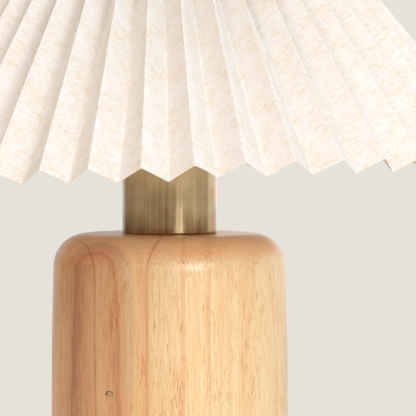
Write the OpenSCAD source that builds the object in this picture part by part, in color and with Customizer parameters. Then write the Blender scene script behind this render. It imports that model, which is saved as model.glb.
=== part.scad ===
// Table lamp: a turned wooden base, a brass neck cup, a lampholder and a pleated linen shade.
// The origin is the centre of the underside, +Z is up and -Y is the front. Millimetres.

/* [Wooden base] */
// Diameter of the base at mid height, where it is widest
base_d = 100; // [92:1:130]
// Height of the wooden base
base_h = 150; // [120:1:200]
// Radius of the rounded shoulder
shoulder_r = 13.8; // [6:0.2:24]
// Radius of the edge at the foot
foot_r = 3; // [1:0.5:5]
// How far the wall swells from the shoulder to mid height
wall_swell = 0.9; // [0.3:0.1:3]

/* [Foot and ballast] */
// Thickness of the foot pad under the base
pad_t = 2; // [1:0.5:4]
// Rim of bare wood round the foot pad
pad_margin = 5; // [4:0.5:8]
// Diameter of the recess in the underside
recess_d = 72; // [66:1:76]
// Depth of the recess in the underside
recess_h = 20; // [19:0.5:26]
// Thickness of the steel ballast plate
ballast_t = 6; // [4:0.5:8]

/* [Cord inlet] */
// Height of the inlet's axis over the underside of the wood
inlet_h = 7.5; // [7:0.5:9]
// Bore of the bush, for a round cord of 6 mm
inlet_bore_d = 7; // [6:0.5:7.5]
// Diameter of the bush's barrel
bush_d = 10; // [9:0.5:11]
// Diameter of the bush's flange
bush_flange_d = 13.5; // [12.5:0.5:14.5]
// Thickness of the bush's flange
bush_flange_t = 2; // [1.5:0.1:3]
// Depth of the flat seat for the flange at its middle
bush_seat_t = 1.3; // [0.8:0.1:1.5]

/* [Tube and nuts] */
// Outer diameter of the threaded tube
tube_d = 10; // [9:0.5:11]
// Bore of the threaded tube
tube_bore_d = 8; // [6:0.5:8]
// Width of the nuts across their flats
nut_af = 14; // [13:0.5:17]
// Thickness of the nut under the base
base_nut_t = 5; // [3:0.5:6]
// Thickness of the nut in the neck cup
cup_nut_t = 3; // [2:0.5:4]
// Diameter of the plain washers
washer_d = 20; // [17:0.5:24]
// Thickness of the plain washers
washer_t = 1.5; // [1:0.1:2]
// Thickness of the toothed washer
lock_t = 0.8; // [0.6:0.1:1.2]
// Number of teeth on the toothed washer
lock_teeth = 12; // [8:1:16]
// Length of tube that stands out of the nut under the base
tube_out = 2; // [1:0.5:3]
// Length of tube inside the lampholder's boss
tube_grip = 9; // [6:0.5:12]

/* [Neck cup] */
// Outer diameter of the brass cup
cup_d = 40; // [39.5:0.5:46]
// Height of the brass cup
cup_h = 58; // [56:1:80]
// Wall of the brass cup
cup_wall = 1.2; // [0.8:0.1:1.5]
// Floor of the brass cup
cup_floor = 1.5; // [1.2:0.1:2]
// Radius of the cup's lower edge
cup_foot_r = 1; // [0.5:0.1:1.2]

/* [Lampholder] */
// Length of the holder's sleeve inside the cup
sleeve_h = 22; // [20:1:26]
// Thickness of the flange that the shade sits on
seat_t = 2.5; // [2:0.1:4]
// Diameter of the flange that the shade sits on
seat_d = 48; // [46:0.5:52]
// Diameter of the threaded skirt over the flange
skirt_d = 39.4; // [37:0.1:40]
// Height of the threaded skirt over the flange
skirt_h = 17.5; // [15:0.5:19]
// Wall of the moulded lampholder parts
holder_wall = 2; // [1.6:0.1:2.1]
// Height of the cap under the sleeve
cap_h = 17; // [14:0.5:18]
// Height of the tube's boss under the cap
boss_h = 8; // [6:0.5:9]
// Diameter of the tube's boss
boss_d = 17; // [15:0.5:20]
// Thickness of the porcelain block
block_t = 9; // [8:0.5:11]
// Height of the centre contact over the block
contact_h = 4; // [3:0.5:5]
// Width of the centre contact's strip
contact_w = 7; // [5:0.5:9]
// Thickness of the brass strip and of the screw shell
strip_t = 0.5; // [0.3:0.05:0.5]
// Diameter of the small screws in the holder
screw_d = 3; // [2.5:0.5:3]

/* [Shade ring and fitter] */
// Outer diameter of the ring that clamps the shade
ring_d = 54; // [50:0.5:56]
// Height of the ring that clamps the shade
ring_h = 7; // [5:0.5:10]
// Number of finger grips round the ring
ring_grips = 20; // [12:1:28]
// Hole of the shade's fitter
fitter_hole_d = 42; // [41:0.5:43]
// Outer diameter of the shade's fitter
fitter_d = 66; // [64:1:72]
// Sheet thickness of the fitter
fitter_t = 1.5; // [1:0.1:2]
// Height of the fitter's turned-down edge
fitter_edge_h = 3; // [2.5:0.5:3.5]

/* [Pleated shade] */
// Number of pleats
pleats = 46; // [40:1:50]
// Diameter of the shade's rim, in the middle of the folds
rim_d = 275.2; // [260:0.2:290]
// Diameter of the shade's top, in the middle of the folds
top_d = 96; // [90:1:110]
// Angle between the shade's side and its axis
cone_angle = 39; // [34:0.5:44]
// Width of each flat face between two folds
fold_w = 12.7; // [11.6:0.1:14]
// Thickness of the stiffened linen
linen_t = 0.6; // [0.4:0.1:0.7]
// Height of the rim over the wooden base, in the middle of the folds
rim_over_base = 27.7; // [18:0.1:34]
// Turn of the first outer fold from the front
first_fold = 3.24; // [0:0.01:7.8]
// Lean of the whole shade to the left
shade_lean = 1.6; // [0:0.1:3]

/* [Shade frame] */
// Diameter of the ring wire and the arm wire
wire_d = 3; // [2.5:0.1:3.5]
// Diameter of the rib wire
rib_d = 2.4; // [2:0.1:2.8]
// Number of arms from the fitter to the top ring
arms = 3; // [3:1:4]
// Number of ribs between the rings for each arm
ribs_per_arm = 2; // [1:1:3]
// Distance of the top ring from the shade's top, along the slope
top_ring_in = 6; // [5:0.5:12]
// Distance of the bottom ring from the shade's rim, along the slope
bottom_ring_in = 14; // [8:0.5:20]

/* [Bulb] */
// Diameter of the bulb's globe
globe_d = 45; // [40:1:50]
// Length of the bulb over all
bulb_h = 77; // [72:1:80]
// Diameter of the bulb's screw cap
bulb_cap_d = 26.2; // [25.6:0.1:26.2]
// Length of the bulb's screw cap
bulb_cap_h = 20; // [18:0.5:21]
// Height of the glass insulator under the cap
insulator_h = 5; // [4:0.5:6]
// Diameter of the bulb's tip contact
tip_d = 9.6; // [8:0.2:10]
// Height of the bulb's tip contact
tip_h = 1.4; // [1:0.1:2]
// Wall of the opal globe
globe_wall = 1.2; // [0.8:0.1:2]
// Diameter of the lamp's light board
board_d = 28; // [22:1:30]

/* [Clearances] */
// Gap round a screw thread that turns
thread_gap = 0.08; // [0.05:0.01:0.1]
// Gap round a part that is pushed in
slip_gap = 0.3; // [0.2:0.05:0.4]
// Gap between faces that turn on each other
turn_gap = 0.1; // [0.05:0.05:0.2]
// Gap between the wire frame and the linen
wire_gap = 0.3; // [0.25:0.05:0.4]
// Gap where two wires meet
weld_gap = 0.1; // [0.05:0.05:0.2]

/* [Hidden] */
$fn = 96;
eps = 0.01;

// Heights of the base
wood_z = pad_t;
wood_top = wood_z + base_h;
mid_z = wood_z + base_h / 2;
recess_top = wood_z + recess_h;
inlet_z = wood_z + inlet_h;

// The wall is one shallow arc, and the shoulder and the foot are tangent to it
wall_span = base_h / 2 - shoulder_r;
wall_r = (pow(wall_span, 2) + pow(wall_swell, 2)) / (2 * wall_swell);
wall_x = base_d / 2 - wall_r;
function wall_at(z) = wall_x + sqrt(pow(wall_r, 2) - pow(z - mid_z, 2));
function edge_rise(r) = base_h / 2 - r;
function edge_x(r) = wall_x + sqrt(pow(wall_r - r, 2) - pow(edge_rise(r), 2));
function edge_tangent(r) = edge_rise(r) * wall_r / (wall_r - r);

// Places along the inlet
bush_seat_y = wall_at(inlet_z) - bush_seat_t;
bush_out = 1;
bush_end_y = recess_d / 2 - bush_out;

// Stack on the tube under the base
base_washer_z = recess_top - ballast_t - washer_t;
lock_z = base_washer_z - lock_t;
base_nut_z = lock_z - base_nut_t;
tube_z = base_nut_z - tube_out;

// Stack in the neck cup
cup_washer_z = wood_top + cup_floor;
cup_nut_z = cup_washer_z + washer_t;
cup_top = wood_top + cup_h;
sleeve_z = cup_top - sleeve_h;
cap_z = sleeve_z - cap_h;
boss_z = cap_z - boss_h;
tube_top = boss_z + tube_grip;
seat_z = cup_top + seat_t;
skirt_top = seat_z + skirt_h;

// Radii of the lampholder
holder_r = cup_d / 2 - cup_wall - slip_gap;
shell_in_r = bulb_cap_d / 2 + thread_gap;
shell_r = shell_in_r + strip_t;
throat_r = shell_r + slip_gap;
cap_in_r = holder_r - holder_wall;
block_r = cap_in_r - slip_gap;
block_top = sleeve_z + block_t;
contact_z = block_top + contact_h;
shell_drop = 3;
shell_top = skirt_top - shell_drop;

// Terminals on both sides of the porcelain block
clamp_x = block_r / 2;
clamp_size = [6, 8, 7];
clamp_z = sleeve_z - clamp_size[2];
terminal_head_h = 1.6;
wire_hole_d = 2.6;
slot_w = 0.6;
slot_depth = 0.7;

// Stack of the shade on the flange
fitter_z = seat_z + turn_gap;
ring_z = fitter_z + fitter_t + turn_gap;
arm_foot_r = (ring_d / 2 + fitter_d / 2 - fitter_t) / 2;
arm_foot_z = fitter_z + fitter_t;

// The folded cone: points are [radius, height] at a distance s down the slope from the top
shade_top = wood_top + rim_over_base + (rim_d - top_d) / 2 / tan(cone_angle);
slope_l = (rim_d - top_d) / 2 / sin(cone_angle);
slope_steps = 3;
function fold_r(s) = top_d / 2 + s * sin(cone_angle);
function half_pitch(s) = PI * fold_r(s) / pleats;
function fold_depth(s) = sqrt(pow(fold_w, 2) - pow(half_pitch(s), 2));
function skin_shift(s) = linen_t * fold_w / half_pitch(s);
function on_cone(s, out) = [fold_r(s) + out * cos(cone_angle),
    shade_top - s * cos(cone_angle) + out * sin(cone_angle)];
function fold_point(s, side, inner) = on_cone(s, side * fold_depth(s) / 2 - inner * skin_shift(s));
function round_z(point, angle) = [point[0] * sin(angle), -point[0] * cos(angle), point[1]];

// The frame's rings lie inside the inner folds
function ring_point(s, d) = fold_point(s, -1, 1) - (d / 2 + wire_gap) * [cos(cone_angle), sin(cone_angle)];
top_ring_s = top_ring_in;
bottom_ring_s = slope_l - bottom_ring_in;
ribs = arms * ribs_per_arm;
function rib_angle(i) = first_fold + (round(i * pleats / ribs) + 0.5) * 360 / pleats;
function lean_point(p) = [p[0] * cos(shade_lean) - (p[2] - seat_z) * sin(shade_lean), p[1],
    seat_z + p[0] * sin(shade_lean) + (p[2] - seat_z) * cos(shade_lean)];
function along(p, q, gap) = p + (q - p) * gap / norm(q - p);

// Places along the bulb
tip_z = contact_z;
insulator_z = tip_z + tip_h;
bulb_cap_z = insulator_z + insulator_h;
housing_z = bulb_cap_z + bulb_cap_h;
globe_z = tip_z + bulb_h - globe_d / 2;
globe_cut = 0.16;
globe_cut_z = globe_z - globe_cut * globe_d;
globe_cut_r = sqrt(pow(globe_d / 2, 2) - pow(globe_z - globe_cut_z, 2));

// A ring turned from a rectangle
module washer(d, hole_d, t, z) {
    translate([0, 0, z]) difference() {
        cylinder(d = d, h = t);
        translate([0, 0, -eps]) cylinder(d = hole_d, h = t + 2 * eps);
    }
}

// A hexagon nut with chamfered corners
module hex_nut(t, z) {
    chamfer = t * 0.15;
    translate([0, 0, z]) difference() {
        intersection() {
            cylinder(d = nut_af / cos(30), h = t, $fn = 6);
            rotate_extrude() polygon([[0, 0], [nut_af / 2, 0], [nut_af / 2 + 2 * chamfer, chamfer],
                [nut_af / 2 + 2 * chamfer, t - chamfer], [nut_af / 2, t], [0, t]]);
        }
        translate([0, 0, -eps]) cylinder(d = tube_d + 2 * thread_gap, h = t + 2 * eps);
    }
}

// A round bar between two points
module rod(p, q, d) {
    v = q - p;
    translate(p) rotate([0, acos(v[2] / norm(v)), atan2(v[1], v[0])]) rotate(90)
        cylinder(d = d, h = norm(v), $fn = 24);
}

// Tilts the shade about the middle of its seat
module leaning() {
    translate([0, 0, seat_z]) rotate([0, -shade_lean, 0]) translate([0, 0, -seat_z]) children();
}

// A closed ring of wire at a point [radius, height]
module wire_ring(at) {
    translate([0, 0, at[1]]) rotate_extrude() translate([at[0], 0]) circle(d = wire_d, $fn = 24);
}

// Outline of half the base: a swelling wall with tangent round edges
module base_outline() {
    intersection() {
        translate([wall_x, mid_z]) circle(r = wall_r, $fn = 1440);
        translate([0, mid_z - edge_tangent(foot_r)])
            square([base_d, edge_tangent(foot_r) + edge_tangent(shoulder_r)]);
    }
    translate([0, wood_z]) square([edge_x(foot_r), foot_r + eps]);
    translate([0, wood_top - shoulder_r - eps]) square([edge_x(shoulder_r), shoulder_r + eps]);
    intersection() {
        union() {
            translate([edge_x(foot_r), wood_z + foot_r]) circle(r = foot_r);
            translate([edge_x(shoulder_r), wood_top - shoulder_r]) circle(r = shoulder_r);
        }
        translate([0, wood_z]) square([base_d, base_h]);
    }
}

// Round pad that the lamp stands on
module foot_pad() {
    color("#3b3936") cylinder(d = base_d - 2 * pad_margin, h = pad_t);
}

// Steel plate at the top of the recess
module ballast_plate() {
    color("#6f7378") washer(recess_d - 2 * slip_gap, tube_d + 2 * slip_gap, ballast_t,
        recess_top - ballast_t);
}

// Turned wood with a bore for the tube, a recess below and the cord's inlet at the back
module wooden_base() {
    color("#dba970") difference() {
        rotate_extrude() base_outline();
        translate([0, 0, wood_z - eps]) cylinder(d = tube_d + 2 * slip_gap, h = base_h + 2 * eps);
        translate([0, 0, wood_z - eps]) cylinder(d = recess_d, h = recess_h + eps);
        translate([0, bush_end_y - bush_out, inlet_z]) rotate([-90, 0, 0])
            cylinder(d = bush_d + 2 * slip_gap, h = base_d / 2);
        translate([0, bush_seat_y, inlet_z]) rotate([-90, 0, 0])
            cylinder(d = bush_flange_d + 2 * slip_gap, h = base_d / 2);
    }
}

// Flanged bush in the inlet
module cord_bush() {
    color("#26231f") translate([0, 0, inlet_z]) rotate([-90, 0, 0]) rotate_extrude() difference() {
        union() {
            translate([inlet_bore_d / 2, bush_end_y])
                square([(bush_d - inlet_bore_d) / 2, bush_seat_y + bush_flange_t - bush_end_y]);
            translate([inlet_bore_d / 2, bush_seat_y])
                square([(bush_flange_d - inlet_bore_d) / 2, bush_flange_t]);
        }
        // The flange's outer edge is bevelled
        translate([bush_flange_d / 2, bush_seat_y + bush_flange_t]) rotate(45) square(1, center = true);
    }
}

module threaded_tube() {
    color("#b9a468") washer(tube_d, tube_bore_d, tube_top - tube_z, tube_z);
}

module base_washer() {
    color("#a9adb2") washer(washer_d, tube_d + 2 * slip_gap, washer_t, base_washer_z);
}

// Washer with notches round its edge
module lock_washer() {
    lock_d = nut_af + 2;
    notch_d = 1.6;
    color("#a9adb2") difference() {
        washer(lock_d, tube_d + 2 * slip_gap, lock_t, lock_z);
        for (i = [0 : lock_teeth - 1]) rotate(i * 360 / lock_teeth)
            translate([lock_d / 2, 0, lock_z - eps]) cylinder(d = notch_d, h = lock_t + 2 * eps);
    }
}

module base_nut() {
    color("#a9adb2") hex_nut(base_nut_t, base_nut_z);
}

// Straight cup, open at the top, with a rounded lower edge
module brass_cup() {
    color("#a28a5c") translate([0, 0, wood_top]) rotate_extrude() difference() {
        union() {
            translate([0, cup_foot_r]) square([cup_d / 2, cup_h - cup_foot_r]);
            square([cup_d / 2 - cup_foot_r, cup_h]);
            intersection() {
                translate([cup_d / 2 - cup_foot_r, cup_foot_r]) circle(r = cup_foot_r);
                square([cup_d, cup_h]);
            }
        }
        translate([0, cup_floor]) square([cup_d / 2 - cup_wall, cup_h]);
        translate([0, -eps]) square([tube_d / 2 + slip_gap, cup_floor + 2 * eps]);
    }
}

module cup_washer() {
    color("#a9adb2") washer(washer_d, tube_d + 2 * slip_gap, washer_t, cup_washer_z);
}

module cup_nut() {
    color("#a9adb2") hex_nut(cup_nut_t, cup_nut_z);
}

// Moulded cap: the boss, a sloping floor and a wall up to the sleeve
module holder_cap() {
    floor_rise = 0.7 * (holder_r - boss_d / 2);
    wall_z = cap_z + holder_wall + floor_rise;
    floor_z = cap_z + 1.25 * holder_wall;
    ledge_w = 1.5;
    color("#2b2a29") difference() {
        rotate_extrude() polygon([[tube_d / 2 + thread_gap, boss_z], [boss_d / 2, boss_z],
            [boss_d / 2, cap_z], [holder_r, cap_z + floor_rise], [holder_r, sleeve_z],
            [cap_in_r - ledge_w, sleeve_z], [cap_in_r - ledge_w, sleeve_z - ledge_w],
            [cap_in_r, sleeve_z - 2 * ledge_w], [cap_in_r, wall_z],
            [boss_d / 2, floor_z], [tube_d / 2 + thread_gap, floor_z]]);
        translate([0, -boss_d / 2 - eps, boss_z + boss_h / 2]) rotate([-90, 0, 0])
            cylinder(d = screw_d + 2 * thread_gap, h = boss_d / 2);
    }
}

// Cut across a screw's head for a flat driver
module screw_slot() {
    translate([-screw_d, -slot_w / 2, -eps]) cube([2 * screw_d, slot_w, slot_depth]);
}

// Grub screw that stops the cap turning on the tube
module tube_lock_screw() {
    tip_y = -tube_d / 2 - thread_gap;
    color("#c9b27a") translate([0, -boss_d / 2, boss_z + boss_h / 2]) rotate([-90, 0, 0])
        difference() {
            cylinder(d = screw_d, h = tip_y + boss_d / 2, $fn = 32);
            screw_slot();
        }
}

// Glazed block with a blind hole over each terminal
module porcelain_block() {
    hole_h = 0.6 * block_t;
    color("#f0ece2") difference() {
        translate([0, 0, sleeve_z]) cylinder(r = block_r, h = block_t);
        for (side = [-1, 1]) translate([side * clamp_x, 0, sleeve_z - eps])
            cylinder(d = screw_d + 1, h = hole_h);
    }
}

// Brass clamps for the two wires, hung from the block
module terminal_clamps() {
    color("#c9b27a") for (side = [-1, 1]) translate([side * clamp_x, 0, clamp_z]) difference() {
        translate([-clamp_size[0] / 2, -clamp_size[1] / 2, 0]) cube(clamp_size);
        translate([0, 0, -eps]) cylinder(d = screw_d + 2 * thread_gap, h = clamp_size[2] + 2 * eps);
        translate([0, -clamp_size[1] / 2 - eps, 0.7 * clamp_size[2]]) rotate([-90, 0, 0])
            cylinder(d = wire_hole_d, h = clamp_size[1] + 2 * eps, $fn = 32);
    }
}

// Screws that press the wires in their clamps
module terminal_screws() {
    color("#c9b27a") for (side = [-1, 1]) translate([side * clamp_x, 0, clamp_z - terminal_head_h])
        difference() {
            union() {
                cylinder(d = screw_d + 2, h = terminal_head_h, $fn = 32);
                cylinder(d = screw_d, h = clamp_size[2] + terminal_head_h, $fn = 32);
            }
            screw_slot();
        }
}

// Bent strip under the bulb's tip
module centre_contact() {
    reach = tip_d / 2 - strip_t;
    color("#c9b27a") translate([0, contact_w / 2, block_top]) rotate([90, 0, 0])
        linear_extrude(contact_w) {
            translate([-reach, 0]) square([2 * reach, strip_t]);
            translate([-reach, 0]) square([strip_t, contact_h]);
            translate([-reach, contact_h - strip_t]) square([2 * reach, strip_t]);
        }
}

// Plain stand-in for the threaded shell that the bulb screws into
module screw_shell() {
    floor_r = shell_r - 3;
    color("#c9b27a") rotate_extrude() {
        translate([shell_in_r, block_top]) square([strip_t, shell_top - block_top]);
        translate([floor_r, block_top]) square([shell_r - floor_r, strip_t]);
    }
}

// Sleeve, flange and threaded skirt in one moulding
module holder_body() {
    lip_h = 1;
    color("#2b2a29") rotate_extrude() difference() {
        union() {
            translate([0, sleeve_z]) square([holder_r, sleeve_h]);
            translate([0, cup_top]) square([seat_d / 2, seat_t]);
            translate([0, seat_z - eps]) square([skirt_d / 2, skirt_h - lip_h + eps]);
            translate([0, skirt_top - lip_h - eps]) square([skirt_d / 2 - lip_h, lip_h + eps]);
        }
        translate([0, sleeve_z - eps]) square([cap_in_r, block_t + eps]);
        translate([0, sleeve_z]) square([throat_r, sleeve_h + seat_t + skirt_h + eps]);
    }
}

// Ring nut with finger grips and a chamfered top
module shade_ring() {
    grip_d = 5;
    grip_in = 0.2 * grip_d;
    grip_z = 0.2 * ring_h;
    bevel = 1.2;
    color("#2b2a29") difference() {
        translate([0, 0, ring_z]) rotate_extrude() {
            polygon([[skirt_d / 2 + thread_gap, 0], [ring_d / 2, 0], [ring_d / 2, ring_h - bevel],
                [ring_d / 2 - bevel, ring_h], [skirt_d / 2 + thread_gap, ring_h]]);
        }
        for (i = [0 : ring_grips - 1]) rotate(i * 360 / ring_grips)
            translate([ring_d / 2 + grip_d / 2 - grip_in, 0, ring_z + grip_z])
                cylinder(d = grip_d, h = ring_h, $fn = 32);
    }
}

// Pressed ring with a turned-down edge
module fitter_ring() {
    color("#e8e4da") translate([0, 0, fitter_z]) rotate_extrude() {
        translate([fitter_hole_d / 2, 0]) square([(fitter_d - fitter_hole_d) / 2, fitter_t]);
        translate([fitter_d / 2 - fitter_t, fitter_t - fitter_edge_h]) square([fitter_t, fitter_edge_h]);
    }
}

// Arms: straight wires from the top ring, cut flat where they stand on the fitter
module frame_arms() {
    cut_l = 2 * wire_d;
    color("#e8e4da") for (i = [0 : arms - 1]) {
        angle = rib_angle(i * ribs_per_arm + 0.5);
        foot = round_z([arm_foot_r, arm_foot_z], angle);
        ring = lean_point(round_z(ring_point(top_ring_s, wire_d), angle));
        difference() {
            rod(along(foot, ring, -cut_l), along(ring, foot, wire_d / 2 + weld_gap), wire_d);
            translate(foot - [cut_l, cut_l, 2 * cut_l]) cube(2 * cut_l);
        }
    }
}

module top_ring() {
    color("#e8e4da") leaning() wire_ring(ring_point(top_ring_s, wire_d));
}

module bottom_ring() {
    color("#e8e4da") leaning() wire_ring(ring_point(bottom_ring_s, wire_d));
}

module frame_ribs() {
    color("#e8e4da") for (i = [0 : ribs - 1]) {
        angle = rib_angle(i);
        high = round_z(ring_point(top_ring_s, wire_d), angle);
        low = round_z(ring_point(bottom_ring_s, wire_d), angle);
        leaning() rod(along(high, low, wire_d / 2 + weld_gap), along(low, high, wire_d / 2 + weld_gap),
            rib_d);
    }
}

// Folded linen: an outer and an inner skin over the same folds, closed along the top and the rim
module pleated_shade() {
    folds = 2 * pleats;
    skin = folds * (slope_steps + 1);
    points = [for (inner = [0, 1]) for (j = [0 : slope_steps]) for (k = [0 : folds - 1])
        round_z(fold_point(slope_l * j / slope_steps, k % 2 == 0 ? 1 : -1, inner),
            first_fold + k * 180 / pleats)];
    function at(inner, j, k) = inner * skin + j * folds + k % folds;
    faces = concat(
        [for (j = [0 : slope_steps - 1]) for (k = [0 : folds - 1]) for (half = [0, 1])
            half == 0 ? [at(0, j, k), at(0, j + 1, k + 1), at(0, j + 1, k)]
                : [at(0, j, k), at(0, j, k + 1), at(0, j + 1, k + 1)]],
        [for (j = [0 : slope_steps - 1]) for (k = [0 : folds - 1]) for (half = [0, 1])
            half == 0 ? [at(1, j, k), at(1, j + 1, k), at(1, j + 1, k + 1)]
                : [at(1, j, k), at(1, j + 1, k + 1), at(1, j, k + 1)]],
        [for (k = [0 : folds - 1]) for (half = [0, 1])
            half == 0 ? [at(0, 0, k), at(1, 0, k), at(1, 0, k + 1)]
                : [at(0, 0, k), at(1, 0, k + 1), at(0, 0, k + 1)]],
        [for (k = [0 : folds - 1]) for (half = [0, 1]) let (j = slope_steps)
            half == 0 ? [at(0, j, k), at(1, j, k + 1), at(1, j, k)]
                : [at(0, j, k), at(0, j, k + 1), at(1, j, k + 1)]]);
    color("#f6ece0") leaning() polyhedron(points, faces);
}

module bulb_tip() {
    color("#c9b27a") translate([0, 0, tip_z]) cylinder(d = tip_d, h = tip_h);
}

// Black glass between the tip and the screw cap
module bulb_insulator() {
    rim_w = 1.5;
    color("#26231f") translate([0, 0, insulator_z])
        cylinder(r1 = tip_d / 2, r2 = bulb_cap_d / 2 - rim_w, h = insulator_h);
}

// Plain stand-in for the bulb's rolled screw thread
module bulb_cap() {
    color("#b9bcc0") translate([0, 0, bulb_cap_z]) cylinder(d = bulb_cap_d, h = bulb_cap_h);
}

// Plastic body between the screw cap and the globe, with a short collar
module bulb_housing() {
    collar = [1, 4];
    housing_h = globe_cut_z - housing_z;
    color("#f2f1ee") translate([0, 0, housing_z]) rotate_extrude()
        polygon([[0, 0], [bulb_cap_d / 2, 0], [bulb_cap_d / 2 + collar[0], collar[1]],
            [globe_cut_r, housing_h], [0, housing_h]]);
}

// Metal board with a ring of light chips
module light_board() {
    board_t = 1.2;
    chips = 8;
    chip = [2.8, 2.8, 0.8];
    color("#d8dadd") translate([0, 0, globe_cut_z]) {
        cylinder(d = board_d, h = board_t);
        for (i = [0 : chips - 1]) rotate(i * 360 / chips) translate([0.36 * board_d, 0, board_t - eps])
            translate([-chip[0] / 2, -chip[1] / 2, 0]) cube(chip);
    }
}

// Opal shell, cut flat where it stands on the housing
module bulb_globe() {
    color("#fbfaf6") translate([0, 0, globe_z]) rotate_extrude() intersection() {
        difference() {
            circle(d = globe_d);
            circle(d = globe_d - 2 * globe_wall);
        }
        translate([0, globe_cut_z - globe_z]) square([globe_d, globe_d]);
    }
}

foot_pad();
ballast_plate();
wooden_base();
cord_bush();
threaded_tube();
base_washer();
lock_washer();
base_nut();
brass_cup();
cup_washer();
cup_nut();
holder_cap();
tube_lock_screw();
porcelain_block();
terminal_clamps();
terminal_screws();
centre_contact();
screw_shell();
holder_body();
shade_ring();
fitter_ring();
frame_arms();
top_ring();
bottom_ring();
frame_ribs();
pleated_shade();
bulb_tip();
bulb_insulator();
bulb_cap();
bulb_housing();
light_board();
bulb_globe();
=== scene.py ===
"""Dresses the pleated table lamp: lacquered wood, brushed brass, folded linen and its wire frame."""

import logging
import math
import random
from dataclasses import dataclass
from enum import Enum
from functools import partial
from typing import Any, Callable

import bmesh
import bpy
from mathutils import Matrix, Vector


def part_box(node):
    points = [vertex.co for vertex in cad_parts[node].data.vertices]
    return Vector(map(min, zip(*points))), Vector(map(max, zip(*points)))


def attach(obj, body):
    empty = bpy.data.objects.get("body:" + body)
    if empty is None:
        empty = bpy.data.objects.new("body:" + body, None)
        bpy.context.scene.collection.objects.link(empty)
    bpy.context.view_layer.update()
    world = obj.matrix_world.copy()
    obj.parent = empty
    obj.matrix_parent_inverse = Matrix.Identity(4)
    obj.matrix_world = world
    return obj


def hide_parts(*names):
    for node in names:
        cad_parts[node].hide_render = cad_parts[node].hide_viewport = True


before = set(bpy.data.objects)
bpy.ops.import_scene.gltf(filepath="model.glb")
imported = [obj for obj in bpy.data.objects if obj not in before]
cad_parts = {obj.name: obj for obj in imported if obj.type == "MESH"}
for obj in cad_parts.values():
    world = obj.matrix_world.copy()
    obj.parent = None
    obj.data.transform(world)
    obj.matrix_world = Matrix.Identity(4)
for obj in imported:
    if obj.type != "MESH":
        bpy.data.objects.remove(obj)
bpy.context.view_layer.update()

MM = 0.001
SKIRT_H = 17.5 * MM
LOG = logging.getLogger("lamp")
Pair = tuple[float, float]
Point = tuple[float, float, float]
Colour = tuple[float, float, float, float]
Stops = list[tuple[float, Colour | str | float]]
Material = bpy.types.Material
Node = bpy.types.Node
Socket = bpy.types.NodeSocket
Adder = Callable[..., Node]


def linear(hex_colour: str) -> Colour:
    """Turns an sRGB hex colour into the linear colour that a shader takes.

    Args:
        hex_colour: Six hex digits, such as "f4e6d2".

    Returns:
        Red, green, blue and an alpha of 1.
    """
    low_end, slope, offset, power = 0.04045, 12.92, 0.055, 2.4
    parts = [int(hex_colour[i:i + 2], 16) / 255 for i in (0, 2, 4)]
    return (*[c / slope if c <= low_end else ((c + offset) / (1 + offset)) ** power for c in parts], 1.0)


def add_node(tree: bpy.types.NodeTree, kind: str, settings: dict[Any, Any] | None = None) -> Node:
    """Adds one shader node with its settings and its incoming links.

    Args:
        tree: The node tree that takes the node.
        kind: The node's type name without its prefix.
        settings: Lower-case names set the node itself, and the rest set its inputs. "stops" fills a colour
            ramp, where a number stands for a grey, and "ramp" sets how it blends. Text for an input is a
            hex colour. An output socket is joined to the input, and so is the first one of a node.

    Returns:
        The new node.
    """
    node = tree.nodes.new("ShaderNode" + kind)
    for key, value in (settings or {}).items():
        if key == "stops":
            ramp = node.color_ramp.elements
            for index, (place, colour) in enumerate(value):
                if not isinstance(colour, tuple):
                    colour = linear(colour) if isinstance(colour, str) else (*[colour] * 3, 1.0)
                stop = ramp[index] if index < 2 else ramp.new(place)
                stop.position, stop.color = place, colour
        elif key == "ramp":
            node.color_ramp.interpolation = value
        elif isinstance(key, str) and key.islower():
            setattr(node, key, value)
        elif isinstance(value, (Node, Socket)):
            tree.links.new(value.outputs[0] if isinstance(value, Node) else value, node.inputs[key])
        else:
            node.inputs[key].default_value = linear(value) if isinstance(value, str) else value
    return node


def blank_nodes(owner: Material | bpy.types.World) -> Adder:
    """Empties the node tree of a material or a world.

    Args:
        owner: The material or the world.

    Returns:
        The function that adds a node to it.
    """
    owner.use_nodes = True
    owner.node_tree.nodes.clear()
    return partial(add_node, owner.node_tree)


class Ray(Enum):
    """The kinds of ray that the studio answers in their own way."""

    CAMERA = "Is Camera Ray"
    GLOSSY = "Is Glossy Ray"
    THROUGH = "Is Transmission Ray"


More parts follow.
